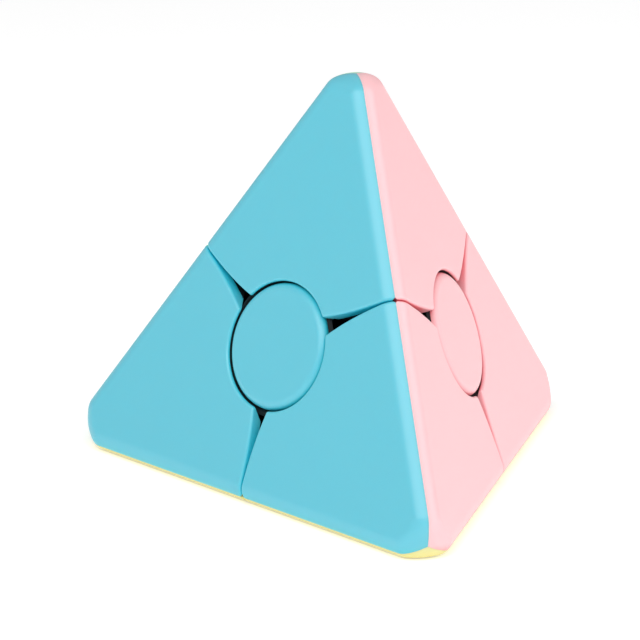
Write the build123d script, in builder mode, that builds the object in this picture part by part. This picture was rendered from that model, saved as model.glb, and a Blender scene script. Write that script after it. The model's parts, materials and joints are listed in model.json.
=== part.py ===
"""Two-layer pyramid twisty puzzle: four corners that turn and four round face discs.

Every piece is drawn about the puzzle's centre with its own axis along +Z, and is then
placed in the puzzle's frame: origin at the middle of the base, +Z up through the top corner.
All faces that slide on each other are spheres or cones about the centre, so any corner turns
freely while the other three stand still. Millimetres.
"""
import os
from math import asin, atan, cos, degrees, radians, sin, sqrt, tan

from build123d import *

# ---- driving dimensions -------------------------------------------------------------------
edge_length = 100.0        # edge of the pyramid before its edges and corners are rounded
disc_radius = 11.2         # round face discs
edge_radius = 3.0          # rounding along the six edges
tip_depth = 9.1            # how far each corner is cut back from its sharp point
tip_radius = 8.5           # dome on each corner
tip_blend = 3.5            # rounding between the dome and the faces
seam_radius = 0.5          # rounding of the tiles along every seam
prong_radius = 0.5         # rounding where a seam meets a disc
disc_rim_radius = 1.5      # rounding of the discs' rims
disc_gap = 0.25            # between a disc's side and the tiles round it
seam_gap = 0.2             # between neighbouring corners, at the middle of an edge
ball_gap = 0.15            # between the corners and the ball of discs under them
tile_thickness = 2.0
notch_radius = 0.5         # diamond opening in the middle of each edge, to its points
wall_thickness = 1.8       # corner frames
rib_thickness = 1.6
frame_top = 44.0           # centre to the flat top of a corner frame
cap_thickness = 2.6        # disc caps
peg_radius = 2.0           # peg that holds a cap in its carrier
peg_length = 4.0

core_radius = 9.0          # round middle of the core
neck_radius = 2.2          # corner necks, and the core arms that they stand on
arm_reach = 13.5           # centre to the end of an arm
arm_gap = 0.05             # between an arm and the neck that turns on it
flange_inner = 19.4        # centre to the underside of a disc's flange
flange_angle = 46.0        # how far a flange reaches under the corners
flange_gap = 0.15          # between a turning flange and the necks that it passes
cap_play = 0.3             # angle round a cap in its carrier, seen from the centre
stalk_angle = 19.0         # half angle of a disc's stalk
stalk_gap = 0.2            # between a stalk and the core
plate_thickness = 1.8      # carrier plate under the cap

screw_radius = 1.0
screw_clearance = 0.05
screw_end = 5.0            # centre to the tip of a screw
head_radius = 1.9
head_height = 1.5
slot_width = 0.5
slot_depth = 0.8
washer_radius = 2.6
washer_thickness = 0.5
wire_radius = 0.2          # wire of the spring
coil_radius = 1.9          # middle of the wire
coil_turns = 6
pocket_radius = 3.0
boss_radius = 4.4          # round the pocket
pocket_floor = 28.0        # centre to the seat of the spring
spring_length = 5.6
seat_gap = 0.05            # at each end of the spring

# ---- geometry of the pyramid --------------------------------------------------------------
face_distance = edge_length / sqrt(24)          # centre to each face
point_distance = 3 * face_distance              # centre to each sharp point
edge_distance = edge_length / sqrt(8)           # centre to the middle of an edge
face_angle = degrees(asin(sqrt(8) / 3))         # between a corner axis and a face beside it
corner_angle = 180 - face_angle                 # between two corner axes
seam_angle = degrees(atan(sqrt(2)))             # between a corner axis and a seam's end
cone_angle = seam_angle - degrees(atan(seam_gap / 2 / edge_distance))
rim_centre = (disc_radius - disc_rim_radius, face_distance - disc_rim_radius)
ball_radius = sqrt(rim_centre[0]**2 + rim_centre[1]**2) + disc_rim_radius
disc_angle = degrees(atan(disc_radius / rim_centre[1]))
neck_apex = (neck_radius + flange_gap) / sin(radians(face_angle))  # of the cone that clears the necks
cap_seat = face_distance - cap_thickness
screw_seat = pocket_floor + spring_length + washer_thickness
reach = 1.5 * point_distance                    # larger than the puzzle
side_azimuths = (0, 120, 240)


def direction(azimuth, polar):
    """Unit vector at the angle polar from +Z."""
    azimuth, polar = radians(azimuth), radians(polar)
    return Vector(sin(polar) * cos(azimuth), sin(polar) * sin(azimuth), cos(polar))


side_directions = [direction(azimuth, face_angle) for azimuth in side_azimuths]

# ---- where the corners and faces are ------------------------------------------------------
centre = Vector(0, 0, face_distance)
corner_axes = {
    "top": direction(0, 0),
    "front": direction(270, corner_angle),
    "left": direction(150, corner_angle),
    "right": direction(30, corner_angle),
}
opposite_corner = {"yellow": "top", "green": "front", "pink": "left", "blue": "right"}
face_axes = {colour: -corner_axes[corner] for colour, corner in opposite_corner.items()}


def facing(axis, side):
    """Place a piece at the centre, its +Z along axis and its +X turned towards side."""
    return Plane(origin=centre, x_dir=side - axis * side.dot(axis), z_dir=axis).location


def write(piece, name):
    """Label a finished piece and write it as its own STEP file."""
    piece.label = name
    export_step(piece, f"parts/{name}.step")


os.makedirs("parts", exist_ok=True)


# ---- tool solid: everything within an angle of +Z -----------------------------------------
def centre_cone(half_angle, start=0.0):
    with BuildPart() as cone:
        with BuildSketch(Plane.XZ):
            with BuildLine():
                Polyline((0, start), (reach * tan(radians(half_angle)), start + reach), (0, start + reach),
                         (0, start))
            make_face()
        revolve(axis=Axis.Z)
    return cone.part


# ---- the three faces that meet at the top corner, and its dome ----------------------------
def corner_hull(inset, rounded):
    dome_height = point_distance - tip_depth - tip_radius
    cut_height = point_distance - 1.45 * tip_depth
    with BuildPart() as dome_cutter:
        with Locations((0, 0, cut_height)):
            Cylinder(2 * tip_radius, reach, align=(Align.CENTER, Align.CENTER, Align.MIN))
        with Locations((0, 0, dome_height)):
            Sphere(tip_radius - inset, mode=Mode.SUBTRACT)
    with BuildPart() as hull:
        Box(2 * reach, 2 * reach, 2 * reach)
        for side in side_directions:
            face = Plane(origin=side * (face_distance - inset), z_dir=side)
            split(bisect_by=face, keep=Keep.BOTTOM)
        if rounded:
            apex = hull.vertices().sort_by(Axis.Z)[-1]
            fillet(hull.edges().filter_by(lambda edge: apex in edge.vertices()), edge_radius)
        add(dome_cutter.part, mode=Mode.SUBTRACT)
        if rounded:
            fillet(hull.faces().filter_by(GeomType.SPHERE).edges(), tip_blend)
    return hull.part


# ---- outer block of a corner: tiles and frame together ------------------------------------
with BuildPart() as corner_block:
    add(corner_hull(0, rounded=True))
    add(centre_cone(cone_angle), mode=Mode.INTERSECT)
    Sphere(ball_radius + ball_gap, mode=Mode.SUBTRACT)
    for side in side_directions:
        with Locations(Plane(origin=(0, 0, 0), z_dir=side).location):
            Cylinder(disc_radius + disc_gap, reach, align=(Align.CENTER, Align.CENTER, Align.MIN),
                     mode=Mode.SUBTRACT)
    disc_walls = corner_block.faces().filter_by(lambda face: face.center().Z < face_distance).filter_by(
        GeomType.CYLINDER)
    seam_walls = corner_block.faces().filter_by(GeomType.CONE)
    fillet([edge for edge in disc_walls.edges() if edge in seam_walls.edges()], prong_radius)
    tile_sides = corner_block.faces().filter_by(lambda face: face.center().Z > pocket_floor)
    gap_sides = corner_block.faces().filter_by(lambda face: face.center().Z < pocket_floor)
    fillet([edge for edge in tile_sides.edges() if edge in gap_sides.edges()], seam_radius)

inner_hull = corner_hull(tile_thickness, rounded=False)

# ---- tile: one coloured kite of a corner --------------------------------------------------
with BuildPart() as tile:
    add(corner_block.part)
    add(inner_hull, mode=Mode.SUBTRACT)
    for azimuth in (150, -150):
        split(bisect_by=Plane(origin=(0, 0, 0), z_dir=direction(azimuth, 90)), keep=Keep.BOTTOM)
    for azimuth in (60, -60):
        outward = direction(azimuth, seam_angle)
        along_edge = direction(azimuth, seam_angle - 90)
        with BuildSketch(Plane(origin=outward * ball_radius, x_dir=along_edge, z_dir=outward)):
            RegularPolygon(radius=notch_radius, side_count=4)
        extrude(amount=edge_distance, mode=Mode.SUBTRACT)

# ---- corner frame: bowl, ribs, spring pocket and neck -------------------------------------
with BuildPart() as frame_cavity:
    add(centre_cone(cone_angle, start=wall_thickness / sin(radians(cone_angle))))
    Sphere(ball_radius + ball_gap + wall_thickness, mode=Mode.SUBTRACT)
    Cylinder(boss_radius, 2 * reach, mode=Mode.SUBTRACT)
    for azimuth in side_azimuths:
        rib = Plane(origin=(0, 0, 0), x_dir=direction(azimuth + 180, 90), z_dir=(0, 0, 1))
        with Locations(rib.location):
            Box(reach, rib_thickness, 2 * reach, align=(Align.MIN, Align.CENTER, Align.CENTER),
                mode=Mode.SUBTRACT)

with BuildPart() as corner_frame:
    add(corner_block.part)
    add(inner_hull, mode=Mode.INTERSECT)
    add(frame_cavity.part, mode=Mode.SUBTRACT)
    with BuildSketch(Plane.XY.offset(arm_reach + arm_gap)):
        Circle(neck_radius)
    extrude(until=Until.NEXT)
    split(bisect_by=Plane.XY.offset(frame_top), keep=Keep.BOTTOM)
    with Locations((0, 0, pocket_floor)):
        Cylinder(pocket_radius, reach, align=(Align.CENTER, Align.CENTER, Align.MIN), mode=Mode.SUBTRACT)
    Cylinder(screw_radius + screw_clearance, 2 * reach, mode=Mode.SUBTRACT)

# ---- screw, washer and spring of a corner -------------------------------------------------
with BuildPart() as screw:
    with BuildSketch(Plane.XY.offset(screw_end)):
        Circle(screw_radius)
    extrude(amount=screw_seat - screw_end)
    chamfer(screw.edges().sort_by(Axis.Z)[0], screw_radius / 2)
    with BuildSketch(Plane.XY.offset(screw_seat)):
        Circle(head_radius)
    extrude(amount=head_height)
    fillet(screw.edges().sort_by(Axis.Z)[-1], head_height / 4)
    with BuildSketch(Plane.XY.offset(screw_seat + head_height)):
        Rectangle(1.3 * head_radius, slot_width)
        Rectangle(slot_width, 1.3 * head_radius)
    extrude(amount=-slot_depth, mode=Mode.SUBTRACT)

with BuildPart() as washer:
    with BuildSketch(Plane.XY.offset(screw_seat - washer_thickness)):
        Circle(washer_radius)
        Circle(screw_radius + screw_clearance, mode=Mode.SUBTRACT)
    extrude(amount=washer_thickness)

with BuildPart() as spring:
    coil_height = spring_length - 2 * (wire_radius + seat_gap)
    coil_start = pocket_floor + wire_radius + seat_gap
    with BuildLine():
        coil = Helix(pitch=coil_height / coil_turns, height=coil_height, radius=coil_radius,
                     center=(0, 0, coil_start))
    with BuildSketch(Plane(origin=coil @ 0, z_dir=coil % 0)):
        Circle(wire_radius)
    sweep(path=coil, is_frenet=True)

# ---- disc: coloured cap, and the carrier that floats under the corners --------------------
with BuildPart() as disc_cap:
    with BuildSketch(Plane.XZ):
        with BuildLine():
            Polyline((0, face_distance), (0, cap_seat), (cap_seat * tan(radians(disc_angle)), cap_seat),
                     (disc_radius, rim_centre[1]))
            RadiusArc((disc_radius, rim_centre[1]), (rim_centre[0], face_distance), -disc_rim_radius)
            Line((rim_centre[0], face_distance), (0, face_distance))
        make_face()
    revolve(axis=Axis.Z)
    with BuildSketch(Plane.XY.offset(cap_seat)):
        Circle(peg_radius)
    extrude(amount=-peg_length)

with BuildPart() as disc_carrier:
    Sphere(ball_radius)
    Sphere(flange_inner, mode=Mode.SUBTRACT)
    add(centre_cone(flange_angle), mode=Mode.INTERSECT)
    for side in side_directions:
        far_side = Plane(origin=(0, 0, 0), z_dir=-side).location
        add(centre_cone(face_angle, start=-neck_apex).moved(far_side), mode=Mode.SUBTRACT)
    with BuildSketch(Plane.XZ):
        stalk_top = cap_seat - plate_thickness
        stalk_bottom = core_radius + stalk_gap
        with BuildLine():
            Polyline((0, stalk_bottom), (stalk_bottom * tan(radians(stalk_angle)), stalk_bottom),
                     (stalk_top * tan(radians(stalk_angle)), stalk_top),
                     (stalk_top * tan(radians(disc_angle)), stalk_top),
                     (cap_seat * tan(radians(disc_angle)), cap_seat), (0, cap_seat), (0, stalk_bottom))
        make_face()
    revolve(axis=Axis.Z)
    with BuildSketch(Plane.XZ):
        cup_slope = tan(radians(disc_angle + cap_play))
        with BuildLine():
            Polyline((0, cap_seat), (cap_seat * cup_slope, cap_seat), (reach * cup_slope, reach), (0, reach),
                     (0, cap_seat))
        make_face()
    revolve(axis=Axis.Z, mode=Mode.SUBTRACT)
    with BuildSketch(Plane.XY.offset(cap_seat)):
        Circle(peg_radius)
    extrude(amount=-peg_length, mode=Mode.SUBTRACT)

# ---- core: a ball with an arm to each corner ----------------------------------------------
arm_places = [Plane(origin=centre, z_dir=axis).location for axis in corner_axes.values()]
with BuildPart() as core:
    with Locations(centre):
        Sphere(core_radius)
    with Locations(*arm_places):
        Cylinder(neck_radius, arm_reach, align=(Align.CENTER, Align.CENTER, Align.MIN))
    for axis in corner_axes.values():
        with Locations(Plane(origin=centre + axis * screw_end, z_dir=axis).location):
            Cylinder(screw_radius, reach, align=(Align.CENTER, Align.CENTER, Align.MIN), mode=Mode.SUBTRACT)

# ---- place and write every piece ----------------------------------------------------------
write(core.part, "core")

for colour, axis in face_axes.items():
    neighbour = next(other for other in corner_axes.values() if other.dot(axis) > 0)
    write(disc_carrier.part.moved(facing(axis, neighbour)), f"disc_carrier_{colour}")
    write(disc_cap.part.moved(facing(axis, neighbour)), f"disc_cap_{colour}")

for corner, axis in corner_axes.items():
    beside = {colour: side for colour, side in face_axes.items() if opposite_corner[colour] != corner}
    frame_place = facing(axis, next(iter(beside.values())))
    write(corner_frame.part.moved(frame_place), f"corner_frame_{corner}")
    write(screw.part.moved(frame_place), f"screw_{corner}")
    write(washer.part.moved(frame_place), f"washer_{corner}")
    write(spring.part.moved(frame_place), f"spring_{corner}")
    for colour, side in beside.items():
        write(tile.part.moved(facing(axis, side)), f"tile_{corner}_{colour}")
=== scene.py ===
"""Looks of the pyramid twisty puzzle: satin coloured shells over a black mechanism, on a pale floor."""
import json
import math

import bpy
from mathutils import Matrix, Vector


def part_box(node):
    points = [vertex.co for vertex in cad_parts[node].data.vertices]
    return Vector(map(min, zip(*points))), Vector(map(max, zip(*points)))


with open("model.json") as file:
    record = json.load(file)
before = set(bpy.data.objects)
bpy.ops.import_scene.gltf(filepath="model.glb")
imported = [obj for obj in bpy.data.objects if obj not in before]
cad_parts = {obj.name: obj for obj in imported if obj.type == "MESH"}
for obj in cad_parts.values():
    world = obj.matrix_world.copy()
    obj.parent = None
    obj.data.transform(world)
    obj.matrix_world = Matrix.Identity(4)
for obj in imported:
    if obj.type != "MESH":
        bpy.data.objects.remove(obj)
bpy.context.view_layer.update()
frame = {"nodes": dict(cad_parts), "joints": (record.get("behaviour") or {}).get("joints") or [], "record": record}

# ---- the puzzle's own pieces and places, from the frame -----------------------------------
nodes = frame["nodes"]
record = frame["record"]
turn_joint = next(joint for joint in frame["joints"] if joint["name"] == "top_turn")
centre = Vector(turn_joint["pos_m"])
floor_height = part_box("disc_cap_yellow")[0].z


# ---- camera -------------------------------------------------------------------------------
CAMERA_AZIMUTH = math.radians(-14.4)      # from the front, towards the blue face
CAMERA_ELEVATION = math.radians(17.24)
CAMERA_ROLL = math.radians(0.36)
CAMERA_DISTANCE = 0.7113
CAMERA_FOCAL_MM = 226.0
SENSOR_MM = 36.0
AIM_RIGHT = -0.00603                      # where the camera aims, beside and above the centre
AIM_UP = 0.00703


def add_camera():
    """A long lens in front of the puzzle, a little to the left and above it."""
    away = Vector((math.sin(CAMERA_AZIMUTH) * math.cos(CAMERA_ELEVATION),
                   -math.cos(CAMERA_AZIMUTH) * math.cos(CAMERA_ELEVATION),
                   math.sin(CAMERA_ELEVATION)))
    right = (-away).cross(Vector((0, 0, 1))).normalized()
    up = right.cross(-away)
    data = bpy.data.cameras.new("camera")
    data.lens = CAMERA_FOCAL_MM
    data.sensor_width = SENSOR_MM
    camera = bpy.data.objects.new("camera", data)
    bpy.context.scene.collection.objects.link(camera)
    place = Matrix((right, up, away)).transposed().to_4x4()
    place.translation = centre + right * AIM_RIGHT + up * AIM_UP + away * CAMERA_DISTANCE
    camera.matrix_world = place @ Matrix.Rotation(CAMERA_ROLL, 4, "Z")
    bpy.context.scene.camera = camera


# ---- floor and light ----------------------------------------------------------------------
FLOOR_HALF_WIDTH = 6.0
SURROUND_BRIGHTNESS = 0.43
FLOOR_GLOW = 0.25


def add_floor():
    """A wide pale floor under the puzzle."""
    mesh = bpy.data.meshes.new("floor")
    signs = ((-1, -1), (1, -1), (1, 1), (-1, 1))
    corners = [(x * FLOOR_HALF_WIDTH, y * FLOOR_HALF_WIDTH, floor_height) for x, y in signs]
    mesh.from_pydata(corners, [], [(0, 1, 2, 3)])
    floor = bpy.data.objects.new("floor", mesh)
    bpy.context.scene.collection.objects.link(floor)
    floor.data.materials.append(floor_material())


def add_area_light(name, azimuth, elevation, distance, width, height, power):
    """A soft box that looks at the puzzle's centre."""
    azimuth, elevation = math.radians(azimuth), math.radians(elevation)
    away = Vector((math.sin(azimuth) * math.cos(elevation), -math.cos(azimuth) * math.cos(elevation),
                   math.sin(elevation)))
    data = bpy.data.lights.new(name, "AREA")
    data.shape = "RECTANGLE"
    data.size = width
    data.size_y = height
    data.energy = power
    light = bpy.data.objects.new(name, data)
    bpy.context.scene.collection.objects.link(light)
    light.location = centre + away * distance
    light.rotation_euler = away.to_track_quat("Z", "Y").to_euler()


def add_world():
    """An even white surround."""
    world = bpy.data.worlds.new("surround")
    bpy.context.scene.world = world
    world.use_nodes = True
    background = world.node_tree.nodes["Background"]
    background.inputs["Color"].default_value = (1, 1, 1, 1)
    background.inputs["Strength"].default_value = SURROUND_BRIGHTNESS


# ---- materials: all lengths in metres, noise scales in lumps per metre --------------------
FACE_COLOURS = {
    "blue": (0.120, 0.510, 0.623),
    "pink": (0.920, 0.516, 0.540),
    "yellow": (0.750, 0.715, 0.325),
    "green": (0.480, 0.860, 0.600),
}
# Painted shade: deeper, more saturated colours painted into gaps and crevices, where shade falls
PAINTED_GAP_SHADE_COLOURS = {
    "blue": (0.0, 0.58, 0.72),
    "pink": (0.92, 0.14, 0.18),
    "yellow": (0.75, 0.66, 0.22),
    "green": (0.14, 0.80, 0.36),
}
PAINTED_SHADE_REACH = 0.003                         # how far a facing wall can be and still deepen the painted shade in a gap
SKIN_DEPTH = 0.0025                       # how far light spreads in white plastic
SCREW_TONE = (0.62, 0.62, 0.64)
SPRING_TONE = (0.48, 0.48, 0.50)


class Maker:
    """A new node material round one Principled shader, with short calls for the nodes it needs."""

    def __init__(self, name):
        self.material = bpy.data.materials.new(name)
        self.material.use_nodes = True
        self.tree = self.material.node_tree
        self.shader = self.tree.nodes["Principled BSDF"]

    def node(self, kind, **inputs):
        """Add a node, and set or link its inputs by name."""
        made = self.tree.nodes.new(kind)
        for name, value in inputs.items():
            self.set(made.inputs[name.replace("_", " ")], value)
        return made

    def set(self, socket, value):
        """Link a socket to an output, or give it a value."""
        if isinstance(value, bpy.types.NodeSocket):
            self.tree.links.new(value, socket)
        else:
            socket.default_value = value

    def noise(self, scale, detail=2.0, roughness=0.5):
        """Noise in the object's own space."""
        place = self.node("ShaderNodeTexCoord").outputs["Object"]
        made = self.node("ShaderNodeTexNoise",
                         Vector=place, Scale=scale, Detail=detail, Roughness=roughness)
        return made.outputs["Fac"]

    def ramp(self, factor, low, high):
        """Stretch a 0 to 1 factor between two values."""
        made = self.node("ShaderNodeMapRange", Value=factor)
        made.inputs["To Min"].default_value = low
        made.inputs["To Max"].default_value = high
        return made.outputs["Result"]

    def mix(self, factor, first, second):
        """Mix two colours."""
        made = self.tree.nodes.new("ShaderNodeMix")
        made.data_type = "RGBA"
        self.set(made.inputs["Factor"], factor)
        self.set(made.inputs["A"], first)
        self.set(made.inputs["B"], second)
        return made.outputs["Result"]

    def painted_shade_mask(self, reach):
        """1 on an open surface, down to 0 deep in a gap: the mask for painted shade."""
        return self.node("ShaderNodeAmbientOcclusion", Distance=reach).outputs["AO"]

    def bump(self, height, strength, distance, normal=None):
        """Bump from a height, over an earlier normal if there is one."""
        made = self.node("ShaderNodeBump", Height=height, Strength=strength, Distance=distance)
        if normal is not None:
            self.set(made.inputs["Normal"], normal)
        return made.outputs["Normal"]


def shade(colour, factor=1.0):
    """A colour made lighter or darker, with alpha."""
    return tuple(min(1.0, part * factor) for part in colour) + (1.0,)


def satin_plastic(name, colour, painted_gap_shade):
    """Coloured ABS with a fine moulded satin grain and a faint cloudiness in the pigment.

    Painted shade: in gaps and crevices an ambient occlusion mask pulls the colour towards a deeper, more saturated
    one.
    """
    maker = Maker(name)
    cloud = maker.noise(scale=45.0, detail=3.0)
    speckle = maker.noise(scale=1600.0, detail=1.0)
    tone = maker.mix(cloud, shade(colour, 0.985), shade(colour, 1.015))
    skin = maker.mix(speckle, shade(colour, 0.99), tone)
    # Painted shade: the base colour turns to the deeper gap colour where ambient occlusion finds walls close by
    maker.set(maker.shader.inputs["Base Color"],
              maker.mix(maker.painted_shade_mask(PAINTED_SHADE_REACH), shade(painted_gap_shade), skin))
    maker.set(maker.shader.inputs["Roughness"], maker.ramp(speckle, 0.30, 0.38))
    grain = maker.noise(scale=5200.0, detail=2.0)
    flow = maker.noise(scale=110.0, detail=1.0)
    wave = maker.bump(flow, strength=0.10, distance=0.00012)
    maker.set(maker.shader.inputs["Normal"],
              maker.bump(grain, strength=0.12, distance=0.00003, normal=wave))
    maker.shader.inputs["IOR"].default_value = 1.55
    maker.shader.inputs["Subsurface Weight"].default_value = 0.35
    maker.shader.inputs["Subsurface Radius"].default_value = [SKIN_DEPTH * part for part in colour]
    maker.shader.inputs["Subsurface Scale"].default_value = 1.0
    return maker.material


def black_plastic():
    """Black nylon of the mechanism, with a fine grain and an uneven sheen."""
    maker = Maker("black_plastic")
    cloud = maker.noise(scale=160.0, detail=4.0)
    maker.set(maker.shader.inputs["Base Color"],
              maker.mix(cloud, (0.004, 0.007, 0.008, 1.0), (0.008, 0.012, 0.013, 1.0)))
    maker.set(maker.shader.inputs["Roughness"], maker.ramp(cloud, 0.55, 0.70))
    maker.shader.inputs["Specular IOR Level"].default_value = 0.15
    grain = maker.noise(scale=4200.0, detail=2.0)
    maker.set(maker.shader.inputs["Normal"], maker.bump(grain, strength=0.25, distance=0.00004))
    return maker.material


def steel(name, tone, roughness):
    """Drawn or turned steel with fine scratches."""
    maker = Maker(name)
    scratches = maker.noise(scale=2600.0, detail=6.0, roughness=0.7)
    maker.set(maker.shader.inputs["Base Color"], maker.mix(scratches, shade(tone, 0.85), shade(tone, 1.1)))
    maker.shader.inputs["Metallic"].default_value = 1.0
    maker.set(maker.shader.inputs["Roughness"], maker.ramp(scratches, roughness - 0.08, roughness + 0.1))
    maker.set(maker.shader.inputs["Normal"], maker.bump(scratches, strength=0.3, distance=0.00002))
    return maker.material


def floor_material():
    """Matt white paper on a table that is lit from below."""
    maker = Maker("floor_paper")
    fibre = maker.noise(scale=700.0, detail=3.0)
    maker.set(maker.shader.inputs["Base Color"],
              maker.mix(fibre, (0.93, 0.93, 0.93, 1.0), (0.95, 0.95, 0.95, 1.0)))
    maker.shader.inputs["Roughness"].default_value = 0.9
    maker.shader.inputs["Specular IOR Level"].default_value = 0.2
    maker.shader.inputs["Emission Color"].default_value = (1, 1, 1, 1)
    maker.shader.inputs["Emission Strength"].default_value = FLOOR_GLOW
    return maker.material


def finish_nodes():
    """Give every CAD node the material of its slot."""
    finishes = {f"{name}_plastic": satin_plastic(f"{name}_plastic", colour, PAINTED_GAP_SHADE_COLOURS[name])
                for name, colour in FACE_COLOURS.items()}
    finishes["black_plastic"] = black_plastic()
    finishes["screw_steel"] = steel("screw_steel", SCREW_TONE, roughness=0.28)
    finishes["spring_steel"] = steel("spring_steel", SPRING_TONE, roughness=0.32)
    for subpart in record["subparts"]:
        node = nodes[subpart["node"]]
        node.data.materials.clear()
        node.data.materials.append(finishes[subpart["material_slot"]])


# ---- the scene ----------------------------------------------------------------------------
add_camera()
add_floor()
add_world()
add_area_light("key", azimuth=-30, elevation=45, distance=1.2, width=1.8, height=0.8, power=13.0)
add_area_light("fill", azimuth=65, elevation=20, distance=1.3, width=1.1, height=1.1, power=6.5)
bpy.context.scene.view_settings.view_transform = "Standard"
finish_nodes()
